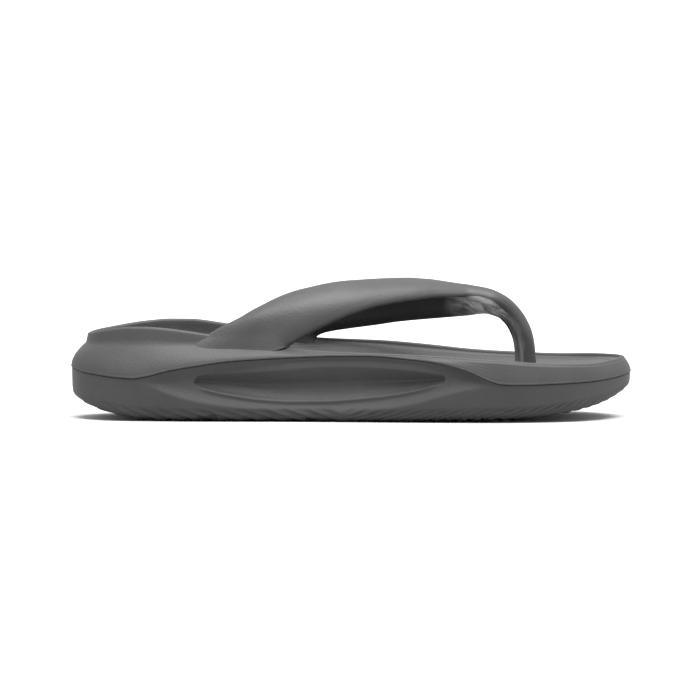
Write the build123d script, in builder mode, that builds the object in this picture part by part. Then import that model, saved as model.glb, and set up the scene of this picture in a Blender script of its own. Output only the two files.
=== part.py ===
from build123d import *
import os

# A right-foot flip flop in moulded foam: a footbed and a midsole bonded along a wavy seam, a one-piece
# thong strap, and two rubber tread pads let into the ground face.
# Frame, in millimetres: +X towards the toes, +Z up, -Y the outer (little toe) side, +Y the inner side.
# The origin is on the ground, under the middle of the sole.

# ---- Driving dimensions -------------------------------------------------------------------------
LENGTH = 285.0
REACH = 60.0  # how far cutters run to each side, past the widest point
CLEAR_TOP = 80.0  # a height above everything

# Plan outline at its widest level: heel tip, outer side, toe tip, inner side.
HEEL_TIP = (-LENGTH / 2, 0)
OUTER_SIDE = [(-136, -19), (-120, -31.5), (-90, -38), (-50, -39), (-10, -41.5), (30, -46.5)]
OUTER_TOE = [(65, -50.5), (95, -47.5), (120, -35.5), (136, -16)]
TOE_TIP = (LENGTH / 2, 4)
INNER_TOE = [(137, 22), (122, 40.5), (99, 49.2), (70, 50.1)]
INNER_SIDE = [(35, 44.5), (0, 37), (-35, 34.5), (-70, 35.5), (-100, 35.5), (-122, 30), (-136, 18)]
PLAN = [HEEL_TIP, *OUTER_SIDE, *OUTER_TOE, TOE_TIP, *INNER_TOE, *INNER_SIDE]

# Side wall: height, and how far the outline is drawn in there. The shoulder is between 28 and 43.
WALL = [(-1, 10), (2.5, 6), (7, 3), (14, 0.8), (21, 0), (28, 0.6), (34, 2.8), (38, 6), (43, 8), (52, 9)]

# Side view: the ground line with its heel and toe rocker, and the top of the rim.
HEEL_ROCKER = [(-150, 30), (-142, 14), (-134, 5.8), (-115, 1.4), (-94, 0)]
TOE_ROCKER = [(20, 0), (60, 0.9), (93, 2.6), (110, 4.8), (126, 8.8), (138, 15.4), (149, 32)]
RIM_HEEL = [(-150, 40), (-134, 43.5), (-113, 47.2), (-92, 47.6), (-65, 44)]
RIM_TOE = [(-20, 36.8), (20, 35.4), (60, 32.6), (95, 30.4), (120, 29.6), (136, 31), (150, 34)]

# The seam between footbed and midsole as it shows along the side, in three runs.
SEAM_HEEL = [(-150, 29), (-136, 24.4), (-111, 21.8)]
SEAM_WAVE = [(-92, 25.9), (-62, 30.6), (-16, 33.2), (12, 33.4), (45, 30), (60, 25.6)]
SEAM_TOE = [(75, 19.6), (106, 19.8), (134, 21.8), (150, 26)]

# The footbed's plug, which fills the midsole's tray, and the wider shelf over it, so that the bed
# covers the midsole where the seam rises above the bed's floor.
TRAY_FLOOR = 15.0
PLUG_INSET = 12.0
SHELF_HEIGHT = 29.5
SHELF_INSET = 6.0

# The foot's hollow, one row a station: x, outer and inner wall, floor at the outer wall, middle, inner wall.
DISH = [
    (-132, -4, 4, 52, 51, 52),
    (-127, -13, 13, 43, 41, 43),
    (-117, -19.5, 19.5, 36, 34, 36),
    (-92, -24.5, 23, 33.5, 32, 33.5),
    (-50, -28, 24.5, 33, 32, 34),
    (-5, -34, 29, 32, 31, 34),
    (40, -41, 38.5, 29, 28, 30),
    (85, -43, 44, 26.5, 25.5, 27),
    (113, -33, 38, 26.5, 25.5, 27),
    (130, -14, 25, 28.5, 27.5, 28.5),
    (138, -2, 12, 36, 35, 36),
]

# Strap: the arched form that its outer face follows, one row a station: x, then (y, z) over the foot.
ARCH = [
    (-95, [(-32, 20), (-31, 45), (-25, 57), (0, 65), (24, 57), (29, 45), (30, 20)]),
    (-60, [(-33, 20), (-32, 45), (-26, 57), (0, 67), (25, 57), (30, 45), (31, 20)]),
    (-30, [(-36, 20), (-34.5, 44), (-25, 61.5), (0, 71), (23, 61.5), (31, 45), (32, 20)]),
    (0, [(-38, 20), (-33.5, 50), (-20, 65.8), (2, 71.6), (20, 65), (30, 49), (33, 20)]),
    (30, [(-37, 20), (-27, 53), (-11, 66.5), (7, 70.6), (20, 65), (29, 51), (33, 20)]),
    (60, [(-26, 20), (-12, 53), (-2, 63.3), (12, 67.1), (21, 61.3), (26, 49), (29, 20)]),
    (82, [(-16, 20), (-4, 44), (4, 55), (12, 59), (19, 55), (23, 44), (25, 20)]),
]
STRAP_THICKNESS = 7.0
# The arms' lower edges in side view, from the root to the toe post.
OUTER_EDGE = [(-34, 30), (-26, 41.1), (-16, 46.8), (0, 53.8), (15, 58), (45, 61.7), (62, 61), (70, 58)]
INNER_EDGE = [(-22, 30), (-17, 40), (0, 43.8), (12, 45.4), (24, 47.2), (36, 48.3), (60, 50.6), (70, 51)]
# The arms' rear edges in plan: from the root on the outer rim, round the crotch, to the inner rim.
CROTCH_OUTER = [(-86, -40), (-74, -33), (-50, -25.5), (-29, -19), (-13, -13.5), (0, -8), (14, -1), (26, 6)]
CROTCH_INNER = [(32, 11), (26, 15), (12, 17), (-5, 19.5), (-25, 22.5), (-45, 27), (-62, 33), (-72, 40)]
ROOT_FLOOR = 33.0
ARM_END_X = 72.0
# Toe post, one row a section: centre x and z, lean from upright in degrees, depth and width.
POST_Y = 12.0
TOE_POST = [
    (62, 61.5, 72, 9.5, 20),
    (73, 57.5, 50, 11, 15),
    (83, 47.5, 22, 11, 11.5),
    (88, 35, 8, 10.5, 9.5),
    (89.2, 18, 0, 10.5, 9.5),
]
POST_FOOT = (89.2, POST_Y)
POST_FOOT_RADIUS = 11.0
POST_FOOT_HEIGHT = 4.0

# Hollows along both sides of the midsole: a shallow lens under the seam, and a deeper oval inside it.
LENS_LOW = [(-110, 21.5), (-92, 13.7), (-62, 7.4), (-31, 4.9), (0, 5), (30, 9), (60, 16.9), (78, 19.6)]
LENS_DEPTH = 1.2
OVAL_HIGH = [(-79, 20), (-62, 24.5), (-31, 26.8), (0, 28.2), (30, 26.8), (44, 24.7), (47, 22.2)]
OVAL_LOW = [(44, 20.2), (30, 15.9), (0, 11.4), (-31, 10.3), (-62, 13.5)]
OVAL_DEPTH = 4.0

# Ground face: rubber pads let into the midsole, and diagonal grooves across all of it.
PAD_DEPTH = 5.0
HEEL_PAD_REAR = [(-118, 0), (-104, -18), (-84, -27)]
HEEL_PAD_FRONT = [(-68, -34.5), (-75, -12), (-75, 12), (-68, 31)]
HEEL_PAD_INNER = [(-84, 25), (-104, 18)]
HEEL_PAD = [*HEEL_PAD_REAR, *HEEL_PAD_FRONT, *HEEL_PAD_INNER]
FOREFOOT_PAD_REAR = [(-20, 31), (-11, 14), (-9, 0), (-11, -14), (-20, -35.5)]
FOREFOOT_PAD_OUTER = [(8, -31), (35, -35), (62, -37.5)]
FOREFOOT_PAD_TIP = [(80, -20), (84, 2), (80, 24)]
FOREFOOT_PAD_INNER = [(62, 37), (35, 33), (8, 27)]
FOREFOOT_PAD_FRONT = [*FOREFOOT_PAD_OUTER, *FOREFOOT_PAD_TIP, *FOREFOOT_PAD_INNER]
GROOVE_WIDTH = 2.2
GROOVE_DEPTH = 1.6
GROOVE_TILT = 22.0
HEEL_PITCH = 12.0
HEEL_GROOVES = 9
HEEL_GROOVES_X = -62.0
FOREFOOT_PITCH = 10.0
FOREFOOT_GROOVES = 11
FOREFOOT_GROOVES_X = 52.0


# ---- Shapes used more than once -----------------------------------------------------------------
def drawn_in(points, inset):
    """A closed ring of points, moved inwards along its own normals."""
    moved = []
    for before, here, after in zip(points[-1:] + points[:-1], points, points[1:] + points[:1]):
        along = (Vector(*after) - Vector(*before)).normalized()
        moved.append(Vector(*here) + Vector(-along.Y, along.X) * inset)
    return moved


def outer_form(inset):
    """The outside of the whole sole, drawn in by inset."""
    with BuildPart() as form:
        for height, wall_inset in WALL:
            with BuildSketch(Plane.XY.offset(height)):
                with BuildLine():
                    Spline(*drawn_in(PLAN, wall_inset + inset), periodic=True)
                make_face()
        loft()
    return form.part


def arched_form(inset):
    """The arched form that the strap follows, drawn in by inset."""
    with BuildPart() as form:
        for x, points in ARCH:
            with BuildSketch(Plane.YZ.offset(x)):
                with BuildLine():
                    over_foot = []
                    for number, point in enumerate(points):
                        before = Vector(*points[max(number - 1, 0)])
                        after = Vector(*points[min(number + 1, len(points) - 1)])
                        along = (after - before).normalized()
                        over_foot.append(Vector(*point) + Vector(along.Y, -along.X) * inset)
                    arch = Spline(*over_foot)
                    Line(arch @ 1, arch @ 0)
                make_face()
        loft()
    return form.part


# ---- Strap: two arms that meet over the toes, and the toe post with its foot ---------------------
with BuildPart() as strap:
    add(arched_form(0))
    add(arched_form(STRAP_THICKNESS), mode=Mode.SUBTRACT)
    # Nothing below the arms' lower edges, to the outer and the inner side of the toe post.
    for edge_line, reach in ((OUTER_EDGE, REACH), (INNER_EDGE, -REACH)):
        with BuildSketch(Plane.XZ.offset(-POST_Y)):
            with BuildLine():
                edge = Spline(*edge_line)
                start, end = edge_line[0], edge_line[-1]
                Polyline(edge @ 1, (LENGTH / 2, end[1]), (LENGTH / 2, 0), (start[0], 0), edge @ 0)
            make_face()
        extrude(amount=reach, mode=Mode.SUBTRACT)
    # Nothing between the arms at the rear, ahead of the post's bend, or under the roots.
    with BuildSketch():
        with BuildLine():
            rear = Spline(*CROTCH_OUTER, *CROTCH_INNER)
            Polyline(rear @ 1, (-LENGTH / 2, REACH), (-LENGTH / 2, -REACH), rear @ 0)
        make_face()
    extrude(amount=CLEAR_TOP, mode=Mode.SUBTRACT)
    with BuildSketch(Plane.YZ.offset(ARM_END_X)):
        Rectangle(2 * REACH, CLEAR_TOP, align=(Align.CENTER, Align.MIN))
    extrude(amount=REACH, mode=Mode.SUBTRACT)
    with BuildSketch():
        Rectangle(LENGTH, 2 * REACH)
    extrude(amount=ROOT_FLOOR, mode=Mode.SUBTRACT)
    # The toe post, and the flat foot that holds it under the footbed.
    for x, z, lean, depth, width in TOE_POST:
        facing = Vector(0, 0, -1).rotate(Axis.Y, -lean)
        with BuildSketch(Plane((x, POST_Y, z), x_dir=(0, 1, 0), z_dir=facing)):
            Ellipse(width / 2, depth / 2)
    loft()
    with BuildSketch(Plane.XY.offset(TRAY_FLOOR)):
        with Locations(POST_FOOT):
            Circle(POST_FOOT_RADIUS)
    extrude(amount=POST_FOOT_HEIGHT)

# ---- The whole sole's outside, cut to its side view ----------------------------------------------
with BuildPart() as sole:
    add(outer_form(0))
    with BuildSketch(Plane.XZ):
        with BuildLine():
            heel = Spline(*HEEL_ROCKER)
            Line(heel @ 1, TOE_ROCKER[0])
            toe = Spline(*TOE_ROCKER)
            rim = Spline(*RIM_HEEL, *RIM_TOE)
            Line(toe @ 1, rim @ 1)
            Line(rim @ 0, heel @ 0)
        make_face()
    extrude(amount=REACH, both=True, mode=Mode.INTERSECT)

# ---- Footbed: heel cup, rim and dished bed down to the wavy seam, with a plug underneath ---------
with BuildPart() as dish:
    for x, outer_wall, inner_wall, outer_floor, floor, inner_floor in DISH:
        with BuildSketch(Plane.YZ.offset(x)):
            with BuildLine():
                middle = ((outer_wall + inner_wall) / 2, floor)
                bed = ThreePointArc((outer_wall, outer_floor), middle, (inner_wall, inner_floor))
                Polyline(bed @ 1, (inner_wall, CLEAR_TOP), (outer_wall, CLEAR_TOP), bed @ 0)
            make_face()
    loft()

with BuildPart() as upper_unit:
    for height, inset in ((TRAY_FLOOR, PLUG_INSET), (SHELF_HEIGHT, SHELF_INSET)):
        with BuildSketch(Plane.XY.offset(height)):
            with BuildLine():
                Spline(*drawn_in(PLAN, inset), periodic=True)
            make_face()
        extrude(amount=CLEAR_TOP)
    with BuildSketch(Plane.XZ):
        with BuildLine():
            seam_heel = Spline(*SEAM_HEEL)
            seam_wave = Spline(*SEAM_WAVE)
            seam_toe = Spline(*SEAM_TOE)
            Line(seam_heel @ 1, seam_wave @ 0)
            Line(seam_wave @ 1, seam_toe @ 0)
            rear_top, front_top = (SEAM_HEEL[0][0], CLEAR_TOP), (SEAM_TOE[-1][0], CLEAR_TOP)
            Polyline(seam_toe @ 1, front_top, rear_top, seam_heel @ 0)
        make_face()
    extrude(amount=REACH, both=True)

with BuildPart() as footbed:
    add(sole.part)
    add(upper_unit.part, mode=Mode.INTERSECT)
    add(dish.part, mode=Mode.SUBTRACT)
    add(strap.part, mode=Mode.SUBTRACT)

# ---- Hollows along the midsole's sides ------------------------------------------------------------
with BuildPart() as lens_hollow:
    with BuildSketch(Plane.XZ):
        with BuildLine():
            low = Spline(*LENS_LOW)
            Polyline(low @ 1, (LENS_LOW[-1][0], CLEAR_TOP), (LENS_LOW[0][0], CLEAR_TOP), low @ 0)
        make_face()
    extrude(amount=REACH, both=True)
    add(outer_form(LENS_DEPTH), mode=Mode.SUBTRACT)

with BuildPart() as oval_hollow:
    with BuildSketch(Plane.XZ):
        with BuildLine():
            Spline(*OVAL_HIGH, *OVAL_LOW, periodic=True)
        make_face()
    extrude(amount=REACH, both=True)
    add(outer_form(OVAL_DEPTH), mode=Mode.SUBTRACT)

# ---- Ground face: pads and grooves ----------------------------------------------------------------
with BuildPart() as heel_block:
    with BuildSketch():
        with BuildLine():
            Spline(*HEEL_PAD, periodic=True)
        make_face()
    extrude(amount=PAD_DEPTH)
    add(sole.part, mode=Mode.INTERSECT)

with BuildPart() as forefoot_block:
    with BuildSketch():
        with BuildLine():
            Spline(*FOREFOOT_PAD_REAR, *FOREFOOT_PAD_FRONT, periodic=True)
        make_face()
    extrude(amount=PAD_DEPTH)
    add(sole.part, mode=Mode.INTERSECT)

with BuildPart() as grooves:
    with BuildSketch(Plane.XY.offset(GROOVE_DEPTH)):
        with Locations((HEEL_GROOVES_X, 0)):
            with GridLocations(HEEL_PITCH, 0, HEEL_GROOVES, 1):
                Rectangle(GROOVE_WIDTH, 3 * REACH, rotation=-GROOVE_TILT)
        with Locations((FOREFOOT_GROOVES_X, 0)):
            with GridLocations(FOREFOOT_PITCH, 0, FOREFOOT_GROOVES, 1):
                Rectangle(GROOVE_WIDTH, 3 * REACH, rotation=GROOVE_TILT)
    extrude(amount=-2 * GROOVE_DEPTH)

# ---- Midsole: the lower unit, a tray round the footbed's plug --------------------------------------
with BuildPart() as midsole:
    add(sole.part)
    add(upper_unit.part, mode=Mode.SUBTRACT)
    add(strap.part, mode=Mode.SUBTRACT)
    add(lens_hollow.part, mode=Mode.SUBTRACT)
    add(oval_hollow.part, mode=Mode.SUBTRACT)
    add(heel_block.part, mode=Mode.SUBTRACT)
    add(forefoot_block.part, mode=Mode.SUBTRACT)
    add(grooves.part, mode=Mode.SUBTRACT)

# ---- Tread pads ------------------------------------------------------------------------------------
with BuildPart() as heel_tread_pad:
    add(heel_block.part)
    add(grooves.part, mode=Mode.SUBTRACT)

with BuildPart() as forefoot_tread_pad:
    add(forefoot_block.part)
    add(grooves.part, mode=Mode.SUBTRACT)

# ---- Files -----------------------------------------------------------------------------------------
os.makedirs("parts", exist_ok=True)
footbed.part.label = "footbed"
export_step(footbed.part, "parts/footbed.step")
midsole.part.label = "midsole"
export_step(midsole.part, "parts/midsole.step")
strap.part.label = "strap"
export_step(strap.part, "parts/strap.step")
heel_tread_pad.part.label = "heel_tread_pad"
export_step(heel_tread_pad.part, "parts/heel_tread_pad.step")
forefoot_tread_pad.part.label = "forefoot_tread_pad"
export_step(forefoot_tread_pad.part, "parts/forefoot_tread_pad.step")
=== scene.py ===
"""Looks of a moulded foam flip flop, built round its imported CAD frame.

Lengths in the tables below are in millimetres, in the frame's own axes: +X towards the toes, +Z up,
-Y the outer (little toe) side. Meshes are made in metres.
"""

import math

import bmesh
import bpy
import numpy as np
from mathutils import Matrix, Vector


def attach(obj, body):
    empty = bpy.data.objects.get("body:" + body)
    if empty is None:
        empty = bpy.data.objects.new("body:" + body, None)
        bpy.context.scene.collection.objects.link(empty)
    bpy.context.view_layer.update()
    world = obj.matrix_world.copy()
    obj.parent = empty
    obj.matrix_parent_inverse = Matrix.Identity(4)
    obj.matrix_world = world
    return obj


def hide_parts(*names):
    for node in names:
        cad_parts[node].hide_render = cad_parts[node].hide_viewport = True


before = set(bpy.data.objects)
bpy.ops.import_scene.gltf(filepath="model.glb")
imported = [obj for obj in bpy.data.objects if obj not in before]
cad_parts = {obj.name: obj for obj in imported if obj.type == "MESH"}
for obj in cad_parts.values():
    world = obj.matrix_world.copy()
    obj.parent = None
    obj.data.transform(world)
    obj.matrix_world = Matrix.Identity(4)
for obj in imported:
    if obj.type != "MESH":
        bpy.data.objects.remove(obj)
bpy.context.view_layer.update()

MM = 0.001
MERGE_DISTANCE = 1e-6  # metres

# ---- Sole: plan outline and the lines of its side view -------------------------------------------
HALF_LENGTH = 142.5
OUTER_SIDE = [(-136, -19), (-120, -31.5), (-90, -38), (-50, -39), (-10, -41.5), (30, -46.5)]
OUTER_TOE = [(65, -50.5), (95, -47.5), (120, -35.5), (136, -16)]
INNER_TOE = [(137, 22), (122, 40.5), (99, 49.2), (70, 50.1)]
INNER_SIDE = [(35, 44.5), (0, 37), (-35, 34.5), (-70, 35.5), (-100, 35.5), (-122, 30), (-136, 18)]
PLAN = [(-HALF_LENGTH, 0), *OUTER_SIDE, *OUTER_TOE, (HALF_LENGTH, 4), *INNER_TOE, *INNER_SIDE]
TOE_POINT = 1 + len(OUTER_SIDE) + len(OUTER_TOE)
SPINE = (-96.0, 92.0)  # the line that floors and undersides close on, end to end

# Side view, as heights at each x: ground face, rim on both sides, seam, and the hollows below the seam.
GROUND = [(-143, 22), (-142, 16.5), (-139, 11.8), (-135, 8.6), (-130, 6.2), (-122, 3.5), (-112, 1.5),
          (-94, 0), (12, 0), (45, 0.6), (76, 1.3), (93, 2.3), (101, 3.1), (109, 4.2), (117.5, 6), (126, 8.5),
          (134, 12.2), (138, 15.3), (141, 19.5), (143, 25)]
RIM_OUTER = [(-143, 41.5), (-135, 43.4), (-123, 46.2), (-113, 47.5), (-104, 47.6), (-95, 47.1), (-84, 45.8),
             (-73, 44.2), (-45, 40.4), (-16, 36.1), (0, 35.5), (30, 34.6), (45, 34), (60, 32.9), (76, 31.9),
             (91, 30.6), (106, 29.8), (122, 29.3), (134, 30.4), (143, 31.6)]
RIM_INNER = [(-143, 41.5), (-131, 44.4), (-123, 45.6), (-106, 48), (-92, 49), (-82, 48.9), (-66, 47),
             (-45, 43), (-16, 39.1), (0, 38.2), (15, 37.4), (30, 36), (45, 34.3), (60, 32.5), (76, 31.3),
             (106, 30.2), (134, 31.2), (143, 31.6)]
SEAM = [(-143, 26.4), (-136, 24.3), (-128, 23.2), (-118, 22.1), (-111, 21.8), (-105, 22.6), (-92, 25.9),
        (-77, 28.5), (-62, 30.6), (-46, 31.8), (-31, 32.6), (-8, 33.5), (8, 33.6), (30, 32), (45, 30),
        (60, 25.8), (69, 21.6), (76, 19.7), (84, 19.4), (106, 19.8), (122, 20.4), (134, 21.6), (140, 22.8),
        (143, 23.6)]
LENS_LOW = [(-111, 21.8), (-92, 13.7), (-77, 9.6), (-62, 7.4), (-46, 5.9), (-31, 5), (-8, 4.7), (15, 6.4),
            (30, 9), (45, 13.2), (60, 16.9), (80, 19.4)]
OVAL_HIGH = [(-79.5, 20.4), (-78.6, 22.2), (-77, 23.2), (-70, 24), (-62, 24.6), (-46, 25.6), (-31, 26.8),
             (-12, 28.1), (0, 28.2), (15, 27.6), (30, 26.5), (42, 24.9), (46, 24.2), (46.8, 23.4)]
OVAL_LOW = [(-79.5, 19), (-78.6, 18), (-77, 17.2), (-62, 13.5), (-46, 11.2), (-31, 10.3), (-12, 10.5),
            (0, 11.4), (15, 13), (30, 15.6), (40, 18.2), (46, 20.3), (46.8, 21.2)]

# Rim: how far it is drawn in from the outline, and how wide its rounded top is.
RIM_INSET = [(-143, 8.2), (-60, 8), (-40, 7), (-25, 5.2), (-10, 3.4), (20, 2.3), (60, 1.7), (112, 1.8),
             (143, 3)]
RIM_WIDTH = [(-143, 3.2), (-70, 3.4), (-20, 2.8), (30, 2.4), (143, 2.4)]
CREASE_HEIGHT = 38.3  # where the shoulder meets the upright wall under the rim
CREASE_BELOW_RIM = 1.6  # how far below the rim that place is at least
WALL_TOP_BELOW_RIM = 1.3

# Bed: how far its edge is drawn in, and the floor's height under the foot's middle line.
BED_INSET = [(-143, 15.5), (-90, 14.5), (-45, 12.5), (-10, 10), (30, 8.5), (80, 8), (143, 9)]
FLOOR = [(-125, 35.5), (-110, 33.5), (-92, 32.6), (-50, 32.4), (-5, 31.6), (40, 28.6), (85, 26.2),
         (113, 26), (130, 27.6), (143, 30)]

BED_TURN_UP = 1.7  # how much higher the bed is at its edge
ARCH_RISE = 2.6  # how much higher it is under the inner arch
ARCH_PLACE = -12.0

# The fine groove round the bed: how far in from the bed's edge, and how deep.
BED_GROOVE = [(0.9, 0), (1.5, 0), (1.8, 0.3), (2.1, 0.45), (2.4, 0.3), (2.7, 0)]

# Where the two mouldings meet: the tray in the midsole, and the shelf between its wall and the seam.
TRAY_FLOOR = 15.0
TRAY_INSET = 12.0
SHELF_HEIGHT = 29.0
SHELF_INSET = 6.0
SEAM_INSET = 0.4  # the outline drawn in this far is where the seam's height is read
# The footbed's rounded lip over the seam: how far in, and how high over the seam.
SEAM_LIP = [(SHELF_INSET, -0.1), (2, 0.2), (1, 0.35), (0.55, 0.2), (0.2, 0), (0, 0.1), (-0.25, 0.3),
            (-0.25, 0.6)]
SEAM_LIP_TOP = 1.0  # height over the seam at which the shoulder starts
SEAM_LIP_OVERHANG = 0.06  # how far outside the outline it starts


def through(points, at):
    """A smooth line through (key, value) points that doesn't overshoot, read at the keys asked for."""
    key, value = np.array(points, float).T
    step = np.diff(key)
    rise = np.diff(value) / step
    slope = np.empty_like(value)
    slope[0], slope[-1] = rise[0], rise[-1]
    before, after = 2 * step[1:] + step[:-1], step[1:] + 2 * step[:-1]
    same = rise[:-1] * rise[1:] > 0
    safe_before, safe_after = np.where(same, rise[:-1], 1), np.where(same, rise[1:], 1)
    slope[1:-1] = np.where(same, (before + after) / (before / safe_before + after / safe_after), 0)
    at = np.clip(at, key[0], key[-1])
    i = np.clip(np.searchsorted(key, at, side="right") - 1, 0, len(step) - 1)
    t = (at - key[i]) / step[i]
    return (value[i] * (1 + 2 * t) * (1 - t) ** 2 + slope[i] * step[i] * t * (1 - t) ** 2
            + value[i + 1] * t * t * (3 - 2 * t) + slope[i + 1] * step[i] * t * t * (t - 1))


def ease(low, high, value):
    """0 below low, 1 above high, and a smooth step between."""
    t = np.clip((value - low) / (high - low), 0, 1)
    return t * t * (3 - 2 * t)


class Outline:
    """The plan outline, as columns that pair up across the sole: column k and column -k face each other."""

    def __init__(self, columns):
        points = np.array(PLAN, float)
        chord = np.linalg.norm(np.roll(points, -1, 0) - points, axis=1)
        knots = np.concatenate([[0], np.cumsum(chord)])
        curve = self.periodic_cubic(points, chord)
        half = columns // 2
        places = []
        for first, last in ((0, knots[TOE_POINT]), (knots[TOE_POINT], knots[-1])):
            fine = np.linspace(first, last, 6000)
            run = np.concatenate([[0], np.cumsum(np.linalg.norm(np.diff(curve(fine), axis=0), axis=1))])
            places.append(np.interp(np.linspace(0, run[-1], half, endpoint=False), run, fine))
        at = np.concatenate(places)
        self.count, self.half = columns, half
        self.points = curve(at)
        ahead = curve((at + 0.01) % knots[-1]) - curve((at - 0.01) % knots[-1])
        ahead /= np.linalg.norm(ahead, axis=1)[:, None]
        self.outward = np.stack([ahead[:, 1], -ahead[:, 0]], 1)
        pair = np.concatenate([np.arange(half + 1), np.arange(half - 1, 0, -1)])
        self.spine_index = pair
        along = np.linspace(0, 1, half + 1)
        x = SPINE[0] + (SPINE[1] - SPINE[0]) * (1 - np.cos(np.pi * along)) / 2
        outer = self.points[:half + 1]
        inner = self.points[(-np.arange(half + 1)) % columns]
        middle = (outer + inner) / 2
        order = np.argsort(middle[:, 0])
        self.spine = np.stack([x, np.interp(x, middle[order, 0], middle[order, 1])], 1)

    @staticmethod
    def periodic_cubic(points, chord):
        n = len(points)
        matrix, right = np.zeros((n, n)), np.zeros((n, 2))
        slope = (np.roll(points, -1, 0) - points) / chord[:, None]
        for i in range(n):
            matrix[i, i - 1] += chord[i - 1]
            matrix[i, i] += 2 * (chord[i - 1] + chord[i])
            matrix[i, (i + 1) % n] += chord[i]
            right[i] = 6 * (slope[i] - slope[i - 1])
        bend = np.linalg.solve(matrix, right)
        knots = np.concatenate([[0], np.cumsum(chord)])

        def curve(at):
            at = np.asarray(at, float)
            i = np.clip(np.searchsorted(knots, at, side="right") - 1, 0, n - 1)
            j = (i + 1) % n
            h, a = chord[i][:, None], (at - knots[i])[:, None]
            b = h - a
            return (bend[i] * b ** 3 + bend[j] * a ** 3) / (6 * h) + (points[i] / h - bend[i] * h / 6) * b \
                + (points[j] / h - bend[j] * h / 6) * a

        return curve

    def at(self, inset):
        """The outline drawn in by inset, one value or one a column."""
        return self.points - self.outward * np.broadcast_to(inset, self.count)[:, None]

    def ring(self, edge, share):
        """The edge drawn part of the way in to the spine."""
        return edge * (1 - share) + self.spine[self.spine_index] * share


def sole_piece(name, outline, rows, start, end):
    """An object with a closed skin: rows of one point a column, closed at both ends on the spine's rows."""
    n, half = outline.count, outline.half
    points = np.concatenate([start, *rows, end]) * MM
    first_row = half + 1
    faces = []
    column = np.arange(n)
    following = (column + 1) % n
    pair = outline.spine_index
    for k in range(len(rows) - 1):
        low, high = first_row + k * n, first_row + (k + 1) * n
        faces.append(np.stack([low + column, low + following, high + following, high + column], 1))
    top = first_row + (len(rows) - 1) * n
    end_row = top + n
    faces.append(np.stack([pair[column], pair[following], first_row + following, first_row + column], 1))
    faces.append(np.stack([top + column, top + following, end_row + pair[following],
                           end_row + pair[column]], 1))
    faces = np.concatenate(faces)
    mesh = bpy.data.meshes.new(name)
    mesh.from_pydata(points.tolist(), [], faces.tolist())
    mesh.validate()
    mesh.polygons.foreach_set("use_smooth", [True] * len(mesh.polygons))
    piece = bpy.data.objects.new(name, mesh)
    bpy.context.collection.objects.link(piece)
    return piece


def by_side(outer, inner, points):
    """A height line that differs between the outer and the inner side, blended round the two ends."""
    x, y = points.T
    share = ease(-14, 14, y)
    return through(outer, x) * (1 - share) + through(inner, x) * share


def lift(points, z):
    """Plan points at a height, one for all or one each."""
    return np.column_stack([points, np.broadcast_to(z, len(points))])


# ---- Footbed ---------------------------------------------------------------------------------------
def bed_height(points, edge_share):
    """The dished floor: low along the middle, turned up a little towards its edge and at the inner arch."""
    x, y = points.T
    arch = ARCH_RISE * np.exp(-((x - ARCH_PLACE) / 42) ** 2) * ease(2, 30, y)
    return through(FLOOR, x) + BED_TURN_UP * edge_share ** 3 + arch


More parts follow.
